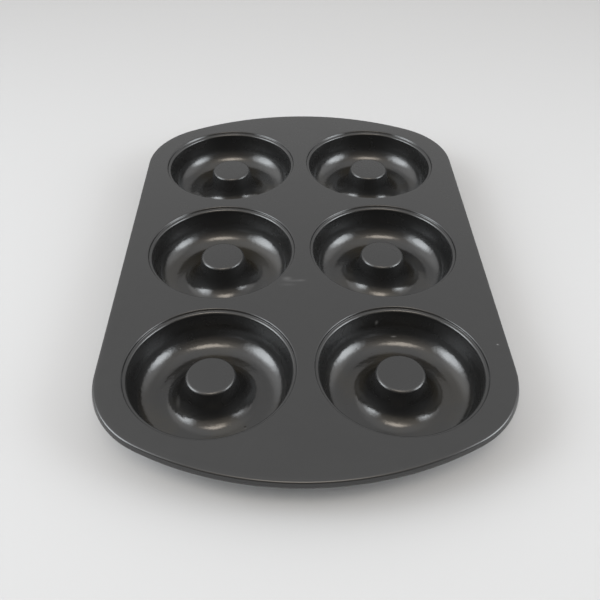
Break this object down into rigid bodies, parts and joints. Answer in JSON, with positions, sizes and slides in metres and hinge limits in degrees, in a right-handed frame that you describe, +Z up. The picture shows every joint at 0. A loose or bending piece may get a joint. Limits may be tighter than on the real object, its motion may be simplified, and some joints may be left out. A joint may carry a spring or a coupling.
{
  "type": "doughnut pan",
  "caption": "Flat steel baking pan with bowed ends, ring-shaped cavities with hollow centre posts, and a curled rim.",
  "frame": {"origin": "centre of the footprint, on the surface that the cavity floors stand on", "axes": "+Y along the pan's length, towards the back, +X across it to the right, +Z up"},
  "size_m": [0.211, 0.3258, 0.0232],
  "materials": {
    "nonstick_steel": "satin non-stick coat, glossier in the cavities"
  },
  "bodies": {
    "root": {"doughnut_pan": "nonstick_steel"}
  },
  "joints": []
}
